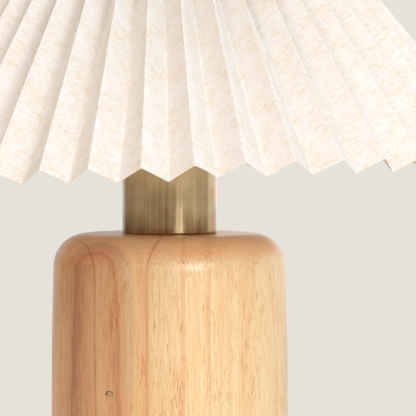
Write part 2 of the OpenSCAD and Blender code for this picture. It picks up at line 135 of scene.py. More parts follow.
@dataclass(frozen=True)
class Finish:
    """A plain finish: one colour with fine mottling, a roughness that varies, and a fine bump.

    The grain is the size of the mottling in millimetres, and the bump is the height of its relief.
    """

    name: str
    colour: str
    mottle: str
    roughness: float = 0.5
    metallic: float = 0.0
    grain_mm: float = 2.0
    bump_mm: float = 0.02
    coat: float = 0.0
    coat_roughness: float = 0.12
    ior: float = 1.5

    NOISE_ROUGHNESS = 0.5

    def start(self) -> tuple[Adder, Socket]:
        """Makes an empty material, and coordinates in millimetres.

        Returns:
            The function that adds a node to it, and the socket that carries the millimetres.
        """
        add = blank_nodes(bpy.data.materials.new(self.name))
        place = add("TexCoord").outputs["Object"]
        return add, add("VectorMath", {"operation": "SCALE", "Scale": 1 / MM, 0: place}).outputs[0]

    def noise(self, add: Adder, place: Socket, size: Point, detail: float) -> Socket:
        """Noise whose patches have a size of their own on each axis.

        Args:
            add: Adds a node to the material.
            place: The place in millimetres.
            size: The size of its patches in millimetres.
            detail: How much finer noise is laid over it.

        Returns:
            The socket with the noise.
        """
        scaled = add("VectorMath", {"operation": "DIVIDE", 0: place, 1: size})
        return add("TexNoise", {
            "Scale": 1.0, "Detail": detail, "Roughness": self.NOISE_ROUGHNESS, "Vector": scaled}).outputs[0]

    def uneven(self, add: Adder, pattern: Socket, swing: float) -> Node:
        """The roughness where it follows a pattern.

        Args:
            add: Adds a node to the material.
            pattern: The pattern, from 0 to 1.
            swing: How far the roughness goes either way, as a share of it.

        Returns:
            The node with the roughness.
        """
        low, high = self.roughness * (1 - swing), min(1.0, self.roughness * (1 + swing))
        return add("MapRange", {"To Min": low, "To Max": high, "Value": pattern})

    def close(self, add: Adder, colour: Node | Socket, relief: Node | Socket, strength: float,
              more: dict[str, Any] | None = None) -> Material:
        """Makes the shader and ends the material.

        Args:
            add: Adds a node to the material.
            colour: The colour.
            relief: The height of the relief.
            strength: How strongly the relief shows.
            more: The shader's other inputs.

        Returns:
            The finished material.
        """
        bump = add("Bump", {"Strength": strength, "Distance": self.bump_mm * MM, "Height": relief})
        inputs = {"Base Color": colour, "Normal": bump, "Roughness": self.roughness,
                  "Metallic": self.metallic}
        if not self.metallic:
            inputs["IOR"] = self.ior
        if self.coat:
            inputs |= {"Coat Weight": self.coat, "Coat Roughness": self.coat_roughness}
        add("OutputMaterial", {"Surface": add("BsdfPrincipled", inputs | (more or {}))})
        return bpy.data.materials[self.name]

    def material(self) -> Material:
        """Builds the finish.

        Returns:
            The finished material.
        """
        add, place = self.start()
        grain = self.noise(add, place, (self.grain_mm,) * 3, 4.0)
        tone = add("ValToRGB", {"stops": [(0.3, self.colour), (0.72, self.mottle)], "Fac": grain})
        return self.close(add, tone, grain, 0.4, {"Roughness": self.uneven(add, grain, 0.2)})


@dataclass(frozen=True)
class LacqueredRubberwood(Finish):
    """Turned rubberwood under clear satin lacquer.

    The blank is glued from staves. Each stave has its own tree centre, so its growth layers meet the round
    wall as long lines and the shoulder as arches. Short brown vessel lines run with the grain: real vessels
    are about 0.2 mm wide, so they are drawn coarser here. Lengths are in millimetres, in the lamp's frame.
    """

    seams: tuple[float, ...] = (-8.9, 6.0, 16.6, 23.1)
    seam_marks: tuple[float, ...] = (0.75, 0.22, 0.14, 0.1)
    centres: tuple[Pair, ...] = (
        (-60.0, -73.0), (-66.0, -30.0), (70.0, -20.0), (-60.0, -96.0), (78.0, -66.0))
    # Stave tones from left to right: partly the staves' own colour, partly painted shade that keeps the
    # left staves darker, away from the key light.
    tones: tuple[float, ...] = (0.48, 0.53, 0.53, 0.62, 0.64)
    reach: float = 150.0
    half_width: float = 50.0
    seam_w: float = 1.3
    heart: Pair = (52.8, 54.3)
    # A band where the tone rises towards the right: partly lighter sapwood, partly painted shade on the
    # left.
    sapwood_and_painted_shade: Pair = (-37.0, -29.0)
    arch_z: float = 138.0
    arch_bend: float = 0.03
    drift: Point = (24.0, 24.0, 95.0)
    drift_by: float = 4.0
    layer: float = 3.4
    ring: float = 6.46
    fibre: Point = (0.5, 0.5, 18.0)
    vessel: Point = (0.32, 0.32, 5.0)
    crowd: Point = (9.0, 9.0, 28.0)
    crowding: float = 0.55
    upward_edge: Point = (4.0, 4.0, 16.0)
    mineral_line: tuple[Point, float] = ((0.941, 0.339, 0.0), 42.1)
    line_sway: Point = (30.0, 30.0, 40.0)
    pin_knot: Point = (-24.4, -43.4, 88.9)
    knot_squeeze: Point = (0.72, 0.36, 1.1)
    knot_edge: Point = (1.6, 1.6, 1.1)
    knot_wear: Point = (2.6, 2.6, 1.3)

    NOISE_ROUGHNESS = 0.6
    COLOURS = [(0.0, "b06c40"), (0.22, "cc8f60"), (0.45, "ecb278"), (0.72, "f0cb93"), (1.0, "f5e0b4")]

    def material(self) -> Material:
        """Builds the wood.

        Returns:
            The finished material.
        """
        add, place = self.start()
        x, _, z = add("SeparateXYZ", {0: place}).outputs
        across = add("MapRange", {
            "From Min": -self.half_width, "From Max": self.half_width, "Value": self.arched(add, x, z)})
        stave = add("ValToRGB", {"stops": self.stave_stops(), "ramp": "CONSTANT", "Fac": across})
        seam = add("ValToRGB", {"stops": self.seam_stops(), "Fac": across})
        drift = self.noise(add, place, self.drift, 2.0)
        depth = self.depth(add, place, stave, drift)
        layer = self.along_depth(add, depth, self.layer, 3.0)
        ring = add("ValToRGB", {
            "stops": [(0.60, 0.0), (0.65, 0.5), (0.70, 0.0)],
            "Fac": self.along_depth(add, depth, self.ring, 0.0)})
        heart = add("MapRange", {
            "From Min": self.heart[0], "From Max": self.heart[1], "To Min": 1.0, "To Max": 0.0,
            "Value": depth})
        sapwood_and_painted_shade = add("MapRange", {"From Min": self.sapwood_and_painted_shade[0], "From Max": self.sapwood_and_painted_shade[1], "Value": x})
        end_grain_and_painted_light = self.end_grain_and_painted_light(add, place)
        heart_end = add("Math", {"operation": "MULTIPLY", 0: heart, 1: end_grain_and_painted_light})
        fibre = self.noise(add, place, self.fibre, 5.0)
        crowd = add("Math", {
            "operation": "MULTIPLY_ADD", 1: self.crowding, 0: self.noise(add, place, self.crowd, 2.0),
            2: self.noise(add, place, self.vessel, 1.0)})
        vessels = add("ValToRGB", {"stops": [(0.85, 0.0), (1.0, 1.0)], "Fac": crowd})
        tone = add("SeparateColor", {0: stave}).outputs[2]
        # Each pattern, how far it moves the tone, and its level that leaves the tone alone.
        # Painted light: the sapwood band keeps the left darker as painted shade, and the end grain lifts
        # the upward faces as painted light.
        patterns = ((heart, -0.17, 0.0), (sapwood_and_painted_shade, 0.20, 0.0), (end_grain_and_painted_light, 0.36, 0.0),
                    (layer, 0.58, 0.5), (fibre, 0.9, 0.5), (drift, 0.4, 0.5))
        for pattern, swing, middle in patterns:
            level = add("Math", {"operation": "SUBTRACT", 1: middle, 0: pattern})
            tone = add("Math", {"operation": "MULTIPLY_ADD", 1: swing, 0: level, 2: tone})
        colour = add("ValToRGB", {"stops": self.COLOURS, "Fac": tone})
        # Each mark, and the colour that it multiplies in.
        marks = ((ring, "dfac86"), (seam, "dcac84"), (heart, "f1f2fd"), (end_grain_and_painted_light, "ffddca"),
                 (heart_end, "f0e0e2"), (vessels, "e8c096"), (self.streak(add, place), "dca88c"),
                 (self.knot(add, place), "643018"))
        for mask, tint in marks:
            colour = add("Mix", {
                "data_type": "RGBA", "blend_type": "MULTIPLY", 7: tint, 0: mask, 6: colour}).outputs[2]
        relief = add("Math", {"operation": "MULTIPLY_ADD", 1: -1.5, 0: vessels, 2: fibre})
        return self.close(add, colour, relief, 0.2)

    def arched(self, add: Adder, x: Socket, z: Socket) -> Node:
        """Bends the left front seam into an arch over the shoulder.

        Args:
            add: Adds a node to the material.
            x: The place across the base in millimetres.
            z: The height in millimetres.

        Returns:
            The node with the bent place across the base.
        """
        over = add("Math", {"operation": "SUBTRACT", 1: self.arch_z, 0: z})
        above = add("Math", {"operation": "MAXIMUM", 1: 0.0, 0: over})
        square = add("Math", {"operation": "POWER", 1: 2.0, 0: above})
        left = add("MapRange", {
            "From Min": -1.0, "From Max": 1.0, "To Min": self.arch_bend, "To Max": 0.0, "Value": x})
        shift = add("Math", {"operation": "MULTIPLY", 0: square, 1: left})
        return add("Math", {"operation": "SUBTRACT", 0: x, 1: shift})

    def depth(self, add: Adder, place: Socket, stave: Node, drift: Socket) -> Node:
        """The distance from each stave's tree centre, which drifts a little.

        Args:
            add: Adds a node to the material.
            place: The place in millimetres.
            stave: The ramp whose red and green carry the tree centres.
            drift: The noise of the drift.

        Returns:
            The node with the distance in millimetres.
        """
        whole, start = (2 * self.reach, 2 * self.reach, 0), (-self.reach, -self.reach, 0)
        centre = add("VectorMath", {"operation": "MULTIPLY_ADD", 1: whole, 2: start, 0: stave})
        flat = add("VectorMath", {"operation": "MULTIPLY", 1: (1, 1, 0), 0: place})
        far = add("VectorMath", {"operation": "DISTANCE", 0: flat, 1: centre}).outputs["Value"]
        return add("Math", {"operation": "MULTIPLY_ADD", 1: self.drift_by, 0: drift, 2: far})

    @staticmethod
    def along_depth(add: Adder, depth: Node, size: float, detail: float) -> Socket:
        """Noise along the distance from the tree centre: the growth layers.

        Args:
            add: Adds a node to the material.
            depth: The distance in millimetres.
            size: The thickness of a layer.
            detail: How much finer noise is laid over it.

        Returns:
            The socket with the noise.
        """
        scaled = add("Math", {"operation": "DIVIDE", 1: size, 0: depth})
        return add("TexNoise", {
            "noise_dimensions": "1D", "Scale": 1.0, "Detail": detail, "W": scaled}).outputs[0]

    def end_grain_and_painted_light(self, add: Adder, place: Socket) -> Node:
        """The mask of where the wood faces up, with a ragged edge: the end grain's colour, and painted
        light that lifts the upward faces.

        Args:
            add: Adds a node to the material.
            place: The place in millimetres.

        Returns:
            The node with the mask.
        """
        normal = add("NewGeometry").outputs["Normal"]
        facing = add("SeparateXYZ", {0: normal}).outputs[2]
        ragged = add("Math", {
            "operation": "MULTIPLY_ADD", 1: 0.5, 0: self.noise(add, place, self.upward_edge, 3.0), 2: facing})
        return add("MapRange", {"From Min": 0.32, "From Max": 0.78, "Value": ragged})

    def share(self, x: float) -> float:
        """Where x lies across the base, from 0 at the left to 1 at the right."""
        return (x + self.half_width) / (2 * self.half_width)

    def stave_stops(self) -> Stops:
        """One step for each stave.

        Returns:
            The stops, with each stave's tree centre in red and green and its tone in blue.
        """
        starts = (-self.half_width, *self.seams)
        middle, whole = self.reach, 2 * self.reach
        return [(self.share(start), ((x + middle) / whole, (y + middle) / whole, tone, 1.0))
                for start, (x, y), tone in zip(starts, self.centres, self.tones)]

    def seam_stops(self) -> Stops:
        """A soft dark line that ends sharply at each glue seam.

        Returns:
            The stops of the mask.
        """
        stops: Stops = [(0.0, 0.0)]
        for x, mark in zip(self.seams, self.seam_marks):
            stops += [(self.share(x - self.seam_w), 0.0), (self.share(x), mark),
                      (self.share(x + self.seam_w / 4), 0.0)]
        return stops

    def streak(self, add: Adder, place: Socket) -> Node:
        """The mask of the thin mineral streak that runs down the left front.

        Args:
            add: Adds a node to the material.
            place: The place in millimetres.

        Returns:
            The node with the mask.
        """
        (across, offset), sway = self.mineral_line, 1.6
        wander = add("Math", {
            "operation": "MULTIPLY_ADD", 1: sway, 2: offset - sway / 2,
            0: self.noise(add, place, self.line_sway, 1.0)})
        far = add("VectorMath", {"operation": "DOT_PRODUCT", 1: across, 0: place}).outputs["Value"]
        gap = add("Math", {"operation": "ADD", 0: far, 1: wander})
        half = add("MapRange", {"From Min": -1.0, "From Max": 1.0, "Value": gap})
        return add("ValToRGB", {"stops": [(0.0, 0.0), (0.33, 0.0), (0.5, 0.75), (0.78, 0.0)], "Fac": half})

    def knot(self, add: Adder, place: Socket) -> Node:
        """The mask of the small pin knot on the front: a dark ring, worn in places.

        Args:
            add: Adds a node to the material.
            place: The place in millimetres.

        Returns:
            The node with the mask.
        """
        away = add("VectorMath", {"operation": "SUBTRACT", 1: self.pin_knot, 0: place})
        squeezed = add("VectorMath", {"operation": "MULTIPLY", 1: self.knot_squeeze, 0: away})
        far = add("VectorMath", {"operation": "LENGTH", 0: squeezed}).outputs["Value"]
        uneven = add("Math", {
            "operation": "MULTIPLY_ADD", 1: 0.8, 0: self.noise(add, place, self.knot_edge, 1.0), 2: far})
        share = add("MapRange", {"From Max": 2.8, "Value": uneven})
        ring = add("ValToRGB", {
            "stops": [(0.36, 0.0), (0.47, 1.0), (0.52, 1.0), (0.62, 0.0)], "Fac": share})
        worn = add("MapRange", {
            "From Min": 0.38, "From Max": 0.52, "To Min": 0.5,
            "Value": self.noise(add, place, self.knot_wear, 1.0)})
        return add("Math", {"operation": "MULTIPLY", 0: ring, 1: worn})


@dataclass(frozen=True)
class BrushedBrass(Finish):
    """Antique brass, turned and finely brushed round its axis, under thin lacquer.

    The scratches run round the cup, so reflections smear up and down and stay sharp across. The tone is
    painted lighter towards the top, a painted reflection of the shade's lit underside, and a painted shadow
    darkens the foot where it stands on the wood. Real scratches are a few hundredths of a millimetre wide,
    so they are drawn coarser here.
    """

    # The darkest tone: tarnish, and the painted shadow at the foot.
    tarnish_and_shadow: str = "4f3d25"
    foot_mm: float = 152.0
    painted_reflection_mm: float = 24.0
    foot_shadow_mm: Pair = (-2.0, -0.6)
    brush: Point = (60.0, 60.0, 0.18)
    draw: Point = (0.9, 0.9, 90.0)
    anisotropy: float = 0.9
    quarter_turn: float = 0.25

    def material(self) -> Material:
        """Builds the brass.

        Returns:
            The finished material.
        """
        add, place = self.start()
        lines = self.noise(add, place, self.brush, 3.0)
        draws = self.noise(add, place, self.draw, 3.0)
        height = add("SeparateXYZ", {0: place}).outputs[2]
        foot, (low, high) = self.foot_mm, self.foot_shadow_mm
        # Painted reflection: the tone rises towards the top, standing for the shade's lit underside
        # mirrored in the brass.
        painted_reflection = add("MapRange", {
            "From Min": foot, "From Max": foot + self.painted_reflection_mm, "To Min": -0.17, "To Max": 0.36,
            "Value": height})
        # Painted shadow: the tone drops at the very foot, where the cup stands on the wood.
        painted_foot_shadow = add("MapRange", {
            "From Min": foot + low, "From Max": foot + high, "To Min": -1.4, "To Max": -0.42,
            "Value": height})
        patina_and_painted_light = self.noise(add, place, (self.grain_mm,) * 3, 2.0)
        for pattern, weight in ((lines, 0.3), (draws, 0.75), (painted_reflection, 1.0), (painted_foot_shadow, 1.0)):
            patina_and_painted_light = add("Math", {"operation": "MULTIPLY_ADD", 1: weight, 0: pattern, 2: patina_and_painted_light})
        stops = [(0.0, self.tarnish_and_shadow), (0.08, self.mottle), (0.3, self.mottle), (0.9, self.colour)]
        tone = add("ValToRGB", {"stops": stops, "Fac": patina_and_painted_light})
        round_axis = add("Tangent", {"direction_type": "RADIAL", "axis": "Z"})
        brushed = {"Roughness": self.uneven(add, lines, 0.1), "Tangent": round_axis,
                   "Anisotropic": self.anisotropy, "Anisotropic Rotation": self.quarter_turn}
        return self.close(add, tone, lines, 0.05, brushed)


@dataclass(frozen=True)
class Yarn:
    """Some of the linen's threads, drawn as streaks.

    Sizes are in millimetres, across the folds and down the slope. A streak begins and is full at the two
    levels of noise, and shows with the given strength. Where patches are given, it shows only in them.
    """

    size: Pair
    levels: Pair
    strength: float
    colour: str = ""
    patches: Pair | None = None


@dataclass(frozen=True)
class WovenLinen(Finish):
    """Natural linen on a white backing: an even fine weave with thicker tan threads and slubs.

    The weave is laid on the cloth's own map, which is in metres: across the folds, then down the slope.
    Real threads are about 0.15 mm wide, too fine to show, so they are drawn coarser here.
    """

    ground: Yarn = Yarn((0.512, 0.384), (0.42, 0.72), 0.75)
    yarns: tuple[Yarn, ...] = (
        Yarn((2.7, 0.32), (0.47, 0.70), 0.78, "e2d0a8", (12.0, 8.4)),
        Yarn((5.94, 0.32), (0.57, 0.72), 0.62, "dec89a"),
        Yarn((0.32, 4.32), (0.49, 0.71), 0.66, "e2cfac", (7.2, 12.0)),
        Yarn((1.4, 0.416), (0.67, 0.78), 0.75, "d2a66e"),
        Yarn((8.1, 0.352), (0.68, 0.76), 0.6, "cfa67a"),
        Yarn((0.416, 1.4), (0.70, 0.80), 0.65, "d4ac7c"),
    )
    patch_levels: Pair = (0.32, 0.60)
    sheen: float = 0.08
    sheen_roughness: float = 0.5

    @staticmethod
    def threads(add: Adder, cloth: Node, yarn: Yarn) -> Node:
        """The mask of some of the threads.

        Args:
            add: Adds a node to the material.
            cloth: The place on the cloth in millimetres.
            yarn: The threads.

        Returns:
            The node with the mask.
        """
        (across, down), (begin, full) = yarn.size, yarn.levels
        offset = (7 * across, 5 * down, 3 * yarn.strength)
        scaled = add("VectorMath", {
            "operation": "MULTIPLY_ADD", 1: (1 / across, 1 / down, 0), 2: offset, 0: cloth})
        noise = add("TexNoise", {"Scale": 1.0, "Detail": 2.0, "Distortion": 0.15, "Vector": scaled})
        return add("MapRange", {
            "From Min": begin, "From Max": full, "To Max": yarn.strength, "Value": noise})

    def material(self) -> Material:
        """Builds the linen.

        Returns:
            The finished material.
        """
        add, _ = self.start()
        sheet_map = add("UVMap", {"uv_map": LinenShade.MAP})
        cloth = add("VectorMath", {"operation": "SCALE", "Scale": 1 / MM, 0: sheet_map})
        ground = self.threads(add, cloth, self.ground)
        colour = add("Mix", {"data_type": "RGBA", 6: self.colour, 7: self.mottle, 0: ground}).outputs[2]
        masks = [self.threads(add, cloth, yarn) for yarn in self.yarns]
        relief = add("Math", {"operation": "ADD", 0: ground, 1: masks[0]})
        for yarn, mask in zip(self.yarns, masks):
            if yarn.patches:
                field = self.threads(add, cloth, Yarn(yarn.patches, self.patch_levels, 1.0))
                mask = add("Math", {"operation": "MULTIPLY", 0: mask, 1: field})
            colour = add("Mix", {"data_type": "RGBA", 7: yarn.colour, 0: mask, 6: colour}).outputs[2]
        sheen = {"Sheen Weight": self.sheen, "Sheen Roughness": self.sheen_roughness}
        return self.close(add, colour, relief, 0.35, sheen)


def dress(node: str, material: Material) -> None:
    """Gives a carried-over node its material.

    Args:
        node: The node's name.
        material: The material for all of its slots.
    """
    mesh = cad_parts[node].data
    mesh.materials.clear()
    mesh.materials.append(material)
    LOG.info("dressed %s with %s", node, material.name)


def add_object(name: str, data: bpy.types.ID) -> bpy.types.Object:
    """Adds an object to the scene.

    Args:
        name: The object's name.
        data: Its mesh, lamp or camera.

    Returns:
        The new object.
    """
    thing = bpy.data.objects.new(name, data)
    bpy.context.scene.collection.objects.link(thing)
    return thing


def add_piece(name: str, mesh: bpy.types.Mesh, body: str) -> bpy.types.Object:
    """Adds a finished mesh as a piece of the lamp.

    Args:
        name: The piece's name.
        mesh: Its mesh in metres, in the lamp's frame.
        body: The moving body that it rides on.

    Returns:
        The new object.
    """
    piece = add_object(name, mesh)
    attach(piece, body)
    LOG.info("made %s: %d faces on %s", name, len(mesh.polygons), body)
    return piece


def smooth_mesh(name: str, points: list[Point], faces: list[tuple[int, ...]],
                materials: list[Material]) -> bpy.types.Mesh:
    """Makes a smooth-shaded mesh from points and faces.

    Args:
        name: The mesh's name.
        points: Its corners in metres, in the lamp's frame.
        faces: Its faces as indices of the points.
        materials: Its materials in slot order.

    Returns:
        The new mesh.
    """
    mesh = bpy.data.meshes.new(name)
    mesh.from_pydata(points, [], faces)
    mesh.validate()
    for polygon in mesh.polygons:
        polygon.use_smooth = True
    for material in materials:
        mesh.materials.append(material)
    return mesh


@dataclass
class LinenShade:
    """The folded linen cone: one sheet whose faces keep one width, so the folds deepen towards the top."""

    finish: WovenLinen
    backing: Finish
    seat_z: float
    base_top: float
    pleats: int = 46
    rim_r: float = 137.6 * MM
    top_r: float = 48.0 * MM
    half_angle: float = math.radians(39.0)
    fold_w: float = 12.7 * MM
    cloth_t: float = 0.6 * MM
    rim_over_base: float = 27.7 * MM
    first_fold: float = math.radians(3.24)
    lean: float = math.radians(1.6)
    lap_angle: float = math.radians(3.24)
    lap_step: Pair = (0.9 * MM, -0.6 * MM)
    lap_fade: Pair = (0.45, 0.25)
    bow_mm: Pair = (-0.25, 0.45)
    sway: float = 0.006
    sway_growth: float = 6.0
    rows: int = 28
    ridge_round: float = 0.04
    valley_round: float = 0.08
    edge_t: float = 0.15

    MAP = "cloth"
    COLUMNS = (0.0, 0.02, 0.05, 0.09, 0.28, 0.5, 0.72, 0.91, 0.95, 0.98)

    @property
    def slope(self) -> float:
        """Length of the sheet down the cone."""
        return (self.rim_r - self.top_r) / math.sin(self.half_angle)

    @property
    def top_z(self) -> float:
        """Height of the top edge in the middle of the folds."""
        return self.base_top + self.rim_over_base + self.slope * math.cos(self.half_angle)

    def swell(self, turn: float) -> float:
        """How much longer the sheet is cut here: its two ends don't quite match at the lap.

        Args:
            turn: The place round the shade, counted in folds.

        Returns:
            The extra length down the slope.
        """
        angle = self.first_fold + turn * math.pi / self.pleats - self.lap_angle
        angle = (angle + math.pi) % (2 * math.pi) - math.pi
        share = min(max(0.5 + 0.5 * angle * self.pleats / math.pi, 0.0), 1.0)
        before = self.lap_step[0] * math.exp(min(angle, 0.0) / self.lap_fade[0])
        after = self.lap_step[1] * math.exp(-max(angle, 0.0) / self.lap_fade[1])
        return before + share * (after - before)

    def fold_shape(self, s: float) -> Pair:
        """Half the depth of a fold and the shift of the inner skin.

        Args:
            s: The distance down the slope from the top.

        Returns:
            Both lengths along the cone's own normal.
        """
        half_pitch = math.pi * (self.top_r + s * math.sin(self.half_angle)) / self.pleats
        depth = math.sqrt(max(self.fold_w ** 2 - half_pitch ** 2, 0.0))
        return depth / 2, self.cloth_t * self.fold_w / half_pitch

    def on_cone(self, s: float, out: float, angle: float) -> Vector:
        """A point beside the cone, with the shade's lean.

        Args:
            s: The distance down the slope from the top.
            out: The distance from the middle of the folds, outwards.
            angle: The angle from the front.

        Returns:
            The point in the lamp's frame.
        """
        r = self.top_r + s * math.sin(self.half_angle) + out * math.cos(self.half_angle)
        z = self.top_z - s * math.cos(self.half_angle) + out * math.sin(self.half_angle) - self.seat_z
        x, y = r * math.sin(angle), -r * math.cos(angle)
        return Vector((x * math.cos(self.lean) - z * math.sin(self.lean), y,
                       self.seat_z + x * math.sin(self.lean) + z * math.cos(self.lean)))

    def build(self) -> bpy.types.Object:
        """Builds the sheet with both skins and its cut edges.

        Returns:
            The shade's piece.
        """
        rng = random.Random(self.pleats)
        folds = 2 * self.pleats
        sway = [rng.uniform(-1, 1) for _ in range(folds)]
        bow = [rng.uniform(*self.bow_mm) * MM for _ in range(folds)]
        columns = [(k, u) for k in range(folds) for u in self.COLUMNS]
        points: list[Point] = []
        spots: list[Pair] = []
        for inner in (0, 1):
            for row in range(self.rows + 1):
                down = row / self.rows
                for k, u in columns:
                    s = down * (self.slope + self.swell(k + u))
                    half_depth, shift = self.fold_shape(s)
                    inward = inner * shift * (self.edge_t if row in (0, self.rows) else 1.0)
                    points.append(tuple(self.skin_point(s, k, u, half_depth, inward, sway, bow)))
                    spots.append(((k + u) * self.fold_w, s))
        width = len(columns)
        skin = width * (self.rows + 1)
        faces: list[tuple[int, ...]] = []
        kinds: list[int] = []
        for row in range(self.rows):
            for c in range(width):
                a, b = row * width + c, row * width + (c + 1) % width
                faces.append((a, a + width, b + width, b))
                faces.append((skin + a, skin + b, skin + b + width, skin + a + width))
                kinds += [0, 1]
        last = self.rows * width
        for c in range(width):
            d = (c + 1) % width
            faces.append((c, d, skin + d, skin + c))
            faces.append((last + c, skin + last + c, skin + last + d, last + d))
            kinds += [0, 0]
        mesh = smooth_mesh("folded_linen", points, faces, [self.finish.material(), self.backing.material()])
        piece = add_piece("folded_linen", mesh, "shade")
        self.map_cloth(mesh, spots, kinds, width)
        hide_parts("pleated_shade")
        return piece

    def face_level(self, u: float) -> float:
        """How far out a face stands, with its two folds rounded.

        Args:
            u: The place across the face, from 0 at its outer fold to 1 at its inner one.

        Returns:
            The level, from 1 at a sharp outer fold to -1 at a sharp inner one.
        """
        if u < self.ridge_round:
            return 1 - self.ridge_round - u * u / self.ridge_round
        if 1 - u < self.valley_round:
            return -(1 - self.valley_round - (1 - u) ** 2 / self.valley_round)
        return 1 - 2 * u

    def skin_point(self, s: float, k: int, u: float, half_depth: float, inner: float, sway: list[float],
                   bow: list[float]) -> Vector:
        """A point on one skin.

        Args:
            s: The distance down the slope.
            k: The fold that starts the face; even folds stand out.
            u: The place across the face, from 0 to 1.
            half_depth: Half the depth of the folds here.
            inner: How far in the skin lies.
            sway: A small sideways swing for each fold.
            bow: A small outward bow for each face.

        Returns:
            The point in the lamp's frame.
        """
        half_pitch = math.pi / self.pleats
        level = self.face_level(u) if k % 2 == 0 else self.face_level(1 - u)
        swing = self.sway * half_pitch * (1 + self.sway_growth * s / self.slope)
        angle = self.first_fold + (k + u) * half_pitch
        angle += swing * ((1 - u) * sway[k] + u * sway[(k + 1) % len(sway)])
        out = level * half_depth + bow[k] * math.sin(math.pi * u) - inner
        return self.on_cone(s, out, angle)

    def map_cloth(self, mesh: bpy.types.Mesh, spots: list[Pair], kinds: list[int], width: int) -> None:
        """Lays the cloth's own map on the mesh and marks its cut edges sharp.

        Args:
            mesh: The shade's mesh.
            spots: The place of each point on the flat cloth.
            kinds: The material index of each face.
            width: The number of points round the shade.
        """
        layer = mesh.uv_layers.new(name=self.MAP)
        end = 2 * self.pleats * self.fold_w
        for polygon, kind in zip(mesh.polygons, kinds):
            polygon.material_index = kind
            wraps = max(spots[v][0] for v in polygon.vertices) > end - self.fold_w
            for loop, v in zip(polygon.loop_indices, polygon.vertices):
                across, down = spots[v]
                layer.data[loop].uv = (across + end if wraps and across < self.fold_w else across, down)
        last = self.rows * width
        skin = last + width
        rim = {start + c for start in (0, last, skin, skin + last) for c in range(width)}
        for edge in mesh.edges:
            a, b = edge.vertices
            if a in rim and b in rim and a // skin == b // skin:
                edge.use_edge_sharp = True


class Ridge(Enum):
    """The shape of a screw thread's ridges."""

    ROLLED = "rolled"
    MOULDED = "moulded"


@dataclass(frozen=True)
class Thread:
    """A right-handed screw thread, cut into a turned wall. It fades out at both ends."""

    pitch: float
    depth: float
    low: float
    high: float
    ridge: Ridge
    run_out: float = 0.6 * MM

    def cut(self, angle: float, z: float) -> float:
        """How deep the thread goes at one place.

        Args:
            angle: The angle round the axis, anticlockwise from above.
            z: The height.

        Returns:
            The depth below the wall.
        """
        inside = min((z - self.low) / self.run_out, (self.high - z) / self.run_out, 1.0)
        turn = (z / self.pitch - angle / (2 * math.pi)) % 1.0
        wave = 0.5 - 0.5 * math.cos(2 * math.pi * turn)
        if self.ridge is Ridge.MOULDED:
            steepness, start = 2.6, 0.8
            wave = min(max(steepness * wave - start, 0.0), 1.0)
        return self.depth * wave * max(inside, 0.0)


@dataclass
class TurnedPiece:
    """A turned piece of the holder or the bulb with a real thread on its wall.

    The outline runs from its lower outer edge up and round, as pairs of radius and height. A solid piece's
    outline starts and ends on the axis.
    """

    node: str
    body: str
    slot: str
    finish: Material
    outline: tuple[Pair, ...]
    thread: Thread
    name: str
    segments: int = 120
    step: float = 0.3 * MM
    crease: float = math.radians(35)

    @property
    def hollow(self) -> bool:
        """Whether the outline closes on itself, away from the axis."""
        return self.outline[0][0] > 0

    def rows(self) -> list[tuple[float, float, bool]]:
        """The rings of points along the outline, with extra ones along the thread.

        Returns:
            Radius, height, and whether the ring is threaded.
        """
        rows: list[tuple[float, float, bool]] = []
        count = len(self.outline)
        for i, (r, z) in enumerate(self.outline):
            rows.append((r, z, False))
            if i + 1 == count and not self.hollow:
                break
            r2, z2 = self.outline[(i + 1) % count]
            if r == r2 and min(z, z2) <= self.thread.low and self.thread.high <= max(z, z2):
                steps = round(abs(z2 - z) / self.step)
                rows += [(r, z + (z2 - z) * k / steps, True) for k in range(1, steps)]
        return rows

    def build(self) -> bpy.types.Object:
        """Builds the piece in place of its node.

        Returns:
            The new piece.
        """
        rows = self.rows()
        points: list[Point] = []
        for r, z, threaded in rows:
            for k in range(self.segments):
                angle = 2 * math.pi * k / self.segments
                radius = r - (self.thread.cut(angle, z) if threaded else 0.0)
                points.append((radius * math.cos(angle), radius * math.sin(angle), z))
        faces: list[tuple[int, ...]] = []
        for row in range(len(rows) if self.hollow else len(rows) - 1):
            low, high = row * self.segments, (row + 1) % len(rows) * self.segments
            for k in range(self.segments):
                after = (k + 1) % self.segments
                faces.append((low + k, low + after, high + after, high + k))
        mesh = smooth_mesh(self.name, points, faces, [self.finish])
        weld = bmesh.new()
        weld.from_mesh(mesh)
        bmesh.ops.remove_doubles(weld, verts=weld.verts, dist=0.001 * MM)
        for edge in weld.edges:
            if len(edge.link_faces) == 2 and edge.calc_face_angle(0.0) > self.crease:
                edge.smooth = False
        weld.to_mesh(mesh)
        weld.free()
        piece = add_piece(self.name, mesh, self.body)
        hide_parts(self.node)
        return piece


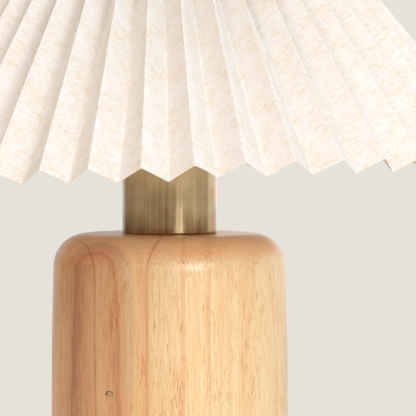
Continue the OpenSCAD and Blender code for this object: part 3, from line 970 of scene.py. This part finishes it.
@dataclass
class WeldNuggets:
    """Small weld nuggets where the arms and ribs meet the rings and the fitter."""

    finish: Material
    shade: LinenShade
    foot_z: float
    foot_r: float = 29.25 * MM
    wire_d: float = 3.0 * MM
    wire_gap: float = 0.3 * MM
    ring_in: Pair = (6.0 * MM, 14.0 * MM)
    arms: int = 3
    ribs_per_arm: int = 2
    joint_size: Point = (1.1, 1.35, 1.02)
    foot_size: Point = (0.6, 1.6, 1.3)
    lumps: float = 0.06

    def rib_angle(self, i: float) -> float:
        """The angle of a rib, which lies along an inner fold."""
        fold = math.floor(i * self.shade.pleats / (self.arms * self.ribs_per_arm) + 0.5)
        return self.shade.first_fold + (fold + 0.5) * 2 * math.pi / self.shade.pleats

    def ring_point(self, s: float, angle: float) -> Vector:
        """The middle of a ring's wire.

        Args:
            s: The distance of the ring down the slope.
            angle: The angle from the front.

        Returns:
            The point in the lamp's frame.
        """
        half_depth, shift = self.shade.fold_shape(s)
        return self.shade.on_cone(s, -half_depth - shift - self.wire_d / 2 - self.wire_gap, angle)

    def nugget(self, mesh: bmesh.types.BMesh, at: Vector, along: Vector, out: Vector, size: Point) -> None:
        """Adds one rounded nugget.

        Args:
            mesh: The mesh that takes it.
            at: Its middle.
            along: The direction of the wire that is welded on.
            out: The direction away from the shade's axis.
            size: Its half lengths along the wire, across it and outwards, in half wires.
        """
        side = along.cross(out).normalized()
        axes = (along, side, side.cross(along))
        arms = [axis * length * self.wire_d / 2 for axis, length in zip(axes, size)]
        made = bmesh.ops.create_icosphere(mesh, subdivisions=3, radius=1.0)
        for vertex in made["verts"]:
            a, b, c = vertex.co
            lump = 1 + self.lumps * math.sin(5 * a + 3 * b) * math.cos(4 * c + 50 * at.x / self.wire_d)
            vertex.co = at + (arms[0] * a + arms[1] * b + arms[2] * c) * lump

    def build(self) -> bpy.types.Object:
        """Builds all the nuggets as one piece of the frame.

        Returns:
            The new piece.
        """
        mesh = bmesh.new()
        wire = self.wire_d / 2
        foot_lift = Vector((0, 0, 0.3 * wire))
        top_s, low_s = self.ring_in[0], self.shade.slope - self.ring_in[1]
        for i in range(self.arms * self.ribs_per_arm):
            angle = self.rib_angle(i)
            high, low = self.ring_point(top_s, angle), self.ring_point(low_s, angle)
            out = Vector((math.sin(angle), -math.cos(angle), 0))
            for end, other in ((high, low), (low, high)):
                along = (other - end).normalized()
                self.nugget(mesh, end + along * wire, along, out, self.joint_size)
        for i in range(self.arms):
            angle = self.rib_angle((i + 0.25) * self.ribs_per_arm)
            out = Vector((math.sin(angle), -math.cos(angle), 0))
            foot = out * self.foot_r + Vector((0, 0, self.foot_z))
            ring = self.ring_point(top_s, angle)
            along = (foot - ring).normalized()
            self.nugget(mesh, ring + along * wire, along, out, self.joint_size)
            self.nugget(mesh, foot + foot_lift, Vector((0, 0, 1)), out, self.foot_size)
        for face in mesh.faces:
            face.smooth = True
        data = bpy.data.meshes.new("weld_nuggets")
        mesh.to_mesh(data)
        mesh.free()
        data.materials.append(self.finish)
        return add_piece("weld_nuggets", data, "shade")


@dataclass(frozen=True)
class Softbox:
    """An oval softbox that faces the lamp, in metres and watts; its azimuth is in degrees.

    The brass and the lacquer reflect it only where it is mirrored. A flat one lies facing up, as a bounce
    card.
    """

    name: str
    azimuth: float
    far: float
    height: float
    size: Pair
    power: float
    colour: str
    mirrored: bool = False
    flat: bool = False

    def build(self, aim_z: float) -> None:
        """Adds it to the scene.

        Args:
            aim_z: The height of the point that it faces.
        """
        data = bpy.data.lights.new(self.name, "AREA")
        data.shape, data.energy, data.color = "ELLIPSE", self.power, linear(self.colour)[:3]
        data.size, data.size_y = self.size
        box = add_object(self.name, data)
        turn = math.radians(self.azimuth)
        box.location = (self.far * math.sin(turn), -self.far * math.cos(turn), self.height)
        aim = Vector((0, 0, 1)) if self.flat else Vector((0, 0, aim_z)) - box.location
        box.rotation_euler = aim.to_track_quat("-Z", "Y").to_euler()
        box.visible_glossy = self.mirrored
        box.visible_camera = False


@dataclass
class Studio:
    """A pale studio: floor, room, softboxes and the camera at the photograph's viewing angle.

    Azimuths are in degrees from the front towards the right.
    """

    aim_z: float
    backdrop: str = "e6e2d9"
    distance: float = 0.965
    rise: float = 41.3 * MM
    sideways: float = 38.4
    downwards: float = 72.5
    focal_px: float = 2282.0
    image_px: float = 416.0
    sensor_mm: float = 36.0
    floor_half: float = 1.6
    room_strength: float = 1.5
    soft_strength: float = 0.78
    soft_sides: tuple[str, str] = ("c4b8aa", "fffdfa")
    room: tuple[tuple[float, str], ...] = (
        (-180, "b2b5bd"), (-144, "a3a5aa"), (-137, "54442f"), (-102, "54442f"), (-94, "6c6058"),
        (-44, "6a5f58"), (15, "706258"), (22, "9a9088"), (34, "9a9088"), (41, "a89e96"), (64, "a89e96"),
        (70, "8c8178"), (105, "8c8178"), (112, "d3cfcd"), (150, "dad4d1"), (180, "efe2dc"))
    glow_at: Pair = (24.0, 17.5)
    glow_size: Pair = (16.5, 14.5)
    glow_strength: float = 4.2
    glow_tint: Point = (0.92, 0.98, 1.08)
    softboxes: tuple[Softbox, ...] = (
        Softbox("key", 28, 1.35, 0.66, (0.50, 0.60), 3.8, "f9fbff", mirrored=True),
        Softbox("front", 6, 1.6, 0.32, (1.8, 0.6), 6.15, "f8faff"),
        Softbox("side", 84, 1.5, 0.2, (1.0, 0.6), 2.5, "f8faff"),
        Softbox("fill", -40, 1.0, 1.2, (0.9, 0.9), 4.5, "ffdcc2"),
        Softbox("bounce", 180, 0.42, 0.01, (0.8, 0.5), 1.6, "fff6ea", flat=True),
    )

    def camera(self) -> None:
        """Places the camera level with the rim, turned a little down and to the right."""
        data = bpy.data.cameras.new("photo_camera")
        data.lens = self.sensor_mm * self.focal_px / self.image_px
        data.sensor_width = self.sensor_mm
        camera = add_object("photo_camera", data)
        camera.location = (0.0, -self.distance, self.aim_z + self.rise)
        ahead = Vector((self.sideways / self.focal_px, 1.0, -self.downwards / self.focal_px))
        camera.rotation_euler = ahead.to_track_quat("-Z", "Y").to_euler()
        bpy.context.scene.camera = camera

    def world(self) -> None:
        """Makes the world: the camera's plain backdrop, the mirrored room and a soft level for the rest."""
        world = bpy.data.worlds.new("studio")
        bpy.context.scene.world = world
        add = blank_nodes(world)
        path = add("LightPath").outputs
        x, y, z = add("SeparateXYZ", {0: add("TexCoord").outputs["Generated"]}).outputs
        front = add("Math", {"operation": "MULTIPLY", 1: -1.0, 0: y})
        azimuth = add("Math", {"operation": "ARCTAN2", 0: x, 1: front})
        share = add("MapRange", {"From Min": -math.pi, "From Max": math.pi, "Value": azimuth})
        stops = [((angle + 180) / 360, tone) for angle, tone in self.room]
        walls = add("ValToRGB", {"stops": stops, "Fac": share})
        ripple = add("TexNoise", {"noise_dimensions": "1D", "Scale": 26.0, "Detail": 2.0, "W": share})
        level = add("MapRange", {
            "From Min": 0.3, "From Max": 0.7, "To Min": 0.84, "To Max": 1.16, "Value": ripple})
        rippled = add("VectorMath", {"operation": "SCALE", 0: walls, "Scale": level})
        room = add("VectorMath", {"operation": "ADD", 0: rippled, 1: self.glow(add, azimuth, z)})
        side = add("MapRange", {"From Min": -0.8, "From Max": 0.4, "Value": x})
        left, right = self.soft_sides
        tint = add("Mix", {"data_type": "RGBA", 6: left, 7: right, 0: side}).outputs[2]
        soft = add("Background", {"Strength": self.soft_strength, "Color": tint})
        seen = add("Background", {"Color": self.backdrop})
        mirrored = add("Background", {"Strength": self.room_strength, "Color": room})
        either = add("Math", {
            "operation": "MAXIMUM", 0: path[Ray.GLOSSY.value], 1: path[Ray.THROUGH.value]})
        lit = add("MixShader", {0: either, 1: soft, 2: mirrored})
        shown = add("MixShader", {0: path[Ray.CAMERA.value], 1: lit, 2: seen})
        add("OutputWorld", {"Surface": shown})

    def glow(self, add: Adder, azimuth: Node, rise: Socket) -> Node:
        """The oval window that mirrored rays see: its lower tip shows under the shade's rim.

        Args:
            add: Adds a node to the world.
            azimuth: The ray's azimuth in radians.
            rise: The height of the ray's direction.

        Returns:
            The node with the window's light.
        """
        spot = add("CombineXYZ", {0: azimuth, 1: rise})
        centre, size = ([math.radians(angle) for angle in pair] for pair in (self.glow_at, self.glow_size))
        away = add("VectorMath", {"operation": "SUBTRACT", 1: (*centre, 0.0), 0: spot})
        scaled = add("VectorMath", {"operation": "DIVIDE", 1: (*size, 1.0), 0: away})
        far = add("VectorMath", {"operation": "LENGTH", 0: scaled}).outputs["Value"]
        level = add("MapRange", {
            "From Min": 1.0, "From Max": 0.7, "To Max": self.glow_strength, "Value": far})
        return add("VectorMath", {"operation": "SCALE", 0: self.glow_tint, "Scale": level})

    def floor(self) -> None:
        """Lays the pale floor: it keeps the lamp's shadow close by and fades into the backdrop."""
        half = self.floor_half
        mesh = bpy.data.meshes.new("floor")
        mesh.from_pydata([(-half, -half, 0), (half, -half, 0), (half, half, 0), (-half, half, 0)], [],
                         [(0, 1, 2, 3)])
        floor = add_object("floor", mesh)
        material = bpy.data.materials.new("matt_painted_floor")
        add = blank_nodes(material)
        place = add("TexCoord").outputs["Object"]
        far = add("VectorMath", {"operation": "LENGTH", 0: place}).outputs["Value"]
        path = add("LightPath").outputs
        near = add("MapRange", {
            "From Min": 0.16, "From Max": 0.5, "To Min": 0.55, "To Max": 1.0, "Value": far})
        seen = add("Math", {"operation": "MULTIPLY", 0: near, 1: path[Ray.CAMERA.value]})
        paint = add("BsdfDiffuse", {"Color": self.backdrop})
        plain = add("Emission", {"Color": self.backdrop})
        both = add("MixShader", {0: seen, 1: paint, 2: plain})
        add("OutputMaterial", {"Surface": both})
        mesh.materials.append(material)

    def build(self) -> None:
        """Sets up the whole studio."""
        bpy.context.scene.view_settings.view_transform = "Standard"
        self.camera()
        for softbox in self.softboxes:
            softbox.build(self.aim_z)
        self.world()
        self.floor()


def threaded_holder(seat_z: float) -> TurnedPiece:
    """The lampholder's moulded body: sleeve, flange and threaded skirt.

    Args:
        seat_z: The height of the flange's seat.

    Returns:
        The piece, ready to build.
    """
    low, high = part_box("holder_body")
    flange_r, sleeve_r, skirt_r, throat_r, cap_r = high.x, 18.5 * MM, 19.7 * MM, 13.98 * MM, 16.5 * MM
    flange_z, block_z, lip, edge = seat_z - 2.5 * MM, low.z + 9.0 * MM, 1.0 * MM, 0.4 * MM
    outline = (
        (sleeve_r, low.z), (sleeve_r, flange_z), (flange_r - edge, flange_z), (flange_r, flange_z + edge),
        (flange_r, seat_z - edge), (flange_r - edge, seat_z), (skirt_r, seat_z), (skirt_r, high.z - lip),
        (skirt_r - lip, high.z - lip), (skirt_r - lip, high.z), (throat_r, high.z), (throat_r, block_z),
        (cap_r, block_z), (cap_r, low.z))
    thread = Thread(2.8 * MM, 0.9 * MM, seat_z + 1.0 * MM, high.z - lip, Ridge.MOULDED)
    plastic = bpy.data.materials["moulded_plastic"]
    return TurnedPiece("holder_body", "lamp", "black_plastic", plastic, outline, thread, "threaded_holder")


def threaded_cap() -> TurnedPiece:
    """The bulb's rolled screw cap.

    Returns:
        The piece, ready to build.
    """
    low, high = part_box("bulb_cap")
    cap_r, tip_r, edge, collar = high.x, 11.6 * MM, 0.8 * MM, 2.4 * MM
    outline = ((0.0, low.z), (tip_r, low.z), (cap_r - edge, low.z + 0.2 * edge), (cap_r, low.z + edge),
               (cap_r, high.z), (0.0, high.z))
    thread = Thread(3.629 * MM, 1.0 * MM, low.z + edge, high.z - collar, Ridge.ROLLED)
    metal = bpy.data.materials["rolled_aluminium"]
    return TurnedPiece("bulb_cap", "bulb", "bulb_metal", metal, outline, thread, "threaded_cap")


def main() -> None:
    """Builds the lamp's sub-assemblies in order, then the studio."""
    logging.basicConfig(level=logging.INFO, format="%(message)s")
    base_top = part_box("wooden_base")[1].z
    seat_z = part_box("holder_body")[1].z - SKIRT_H
    # Satin lacquer over turned wood: a soft wide sheen above a warm, uneven grain.
    wood = LacqueredRubberwood("lacquered_rubberwood", "e6b881", "cf9668", roughness=0.45, bump_mm=0.05,
                               coat=1.0, coat_roughness=0.3)
    # Brushed on the lathe: dull olive gold with upright smears of light.
    brass = BrushedBrass("brushed_antique_brass", "e3cfaa", "a4885d", roughness=0.23, metallic=1.0,
                         grain_mm=14.0, bump_mm=0.01)
    # Linen laminated to a film: dry and matt outside, smooth and slightly shiny inside.
    linen = WovenLinen("woven_linen", "eef1f5", "e9e3dc", roughness=0.85, bump_mm=0.06)
    backing = Finish("backing_film", "efe6db", "e6dccf", roughness=0.55, grain_mm=5.0)
    dress("wooden_base", wood.material())
    dress("brass_cup", brass.material())
    shade = LinenShade(linen, backing, seat_z, base_top)
    shade.build()
    plain = (
        # Powder coat: an even soft white with a faint orange peel.
        (Finish("powder_coated_wire", "ece8df", "e2ddd2", 0.45, grain_mm=0.8, bump_mm=0.03),
         ("fitter_ring", "frame_arms", "top_ring", "bottom_ring", "frame_ribs")),
        # Moulded in a blasted mould: dark, with a dull broad sheen.
        (Finish("moulded_plastic", "26241f", "2e2c28", 0.5, grain_mm=0.5),
         ("holder_body", "holder_cap", "shade_ring", "cord_bush")),
        # Stamped from bright strip: yellow and clearly shiny.
        (Finish("stamped_brass", "d9b970", "cba85e", 0.3, 1.0, grain_mm=1.5),
         ("threaded_tube", "tube_lock_screw", "terminal_clamps", "terminal_screws", "centre_contact",
          "screw_shell", "bulb_tip")),
        # Glaze over fired clay: sharp highlights on a creamy body.
        (Finish("glazed_porcelain", "f1ece2", "e8e2d6", 0.2, grain_mm=3.0, coat=0.5), ("porcelain_block",)),
        # Zinc plate: cool grey with cloudy reflections.
        (Finish("zinc_plated_steel", "b9bdc2", "a7abb1", 0.35, 1.0, grain_mm=1.2),
         ("ballast_plate", "base_washer", "lock_washer", "base_nut", "cup_washer", "cup_nut")),
        # Cut foam: open pores and no sheen at all.
        (Finish("foam_rubber", "34322f", "2a2826", 0.9, grain_mm=0.6, bump_mm=0.15), ("foot_pad",)),
        # Rolled sheet: pale, with soft reflections.
        (Finish("rolled_aluminium", "c9cbce", "b9bbbf", 0.3, 1.0, grain_mm=1.0),
         ("bulb_cap", "light_board")),
        # Fused glass: black with one sharp highlight.
        (Finish("fused_glass", "15151a", "1d1d22", 0.15, grain_mm=2.0), ("bulb_insulator",)),
        # Moulded in a polished mould: plain white with a clear sheen.
        (Finish("white_plastic", "f2f1ee", "eae9e5", 0.3, grain_mm=1.0), ("bulb_housing",)),
        # Opal plastic: milky, without texture, with a soft sheen.
        (Finish("opal_diffuser", "f8f7f3", "f2f0ea", 0.35, grain_mm=3.0), ("bulb_globe",)),
    )
    for finish, nodes in plain:
        material = finish.material()
        for node in nodes:
            dress(node, material)
    threaded_holder(seat_z).build()
    threaded_cap().build()
    WeldNuggets(bpy.data.materials["powder_coated_wire"], shade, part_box("frame_arms")[0].z).build()
    Studio(base_top).build()


if __name__ == "__main__":
    main()
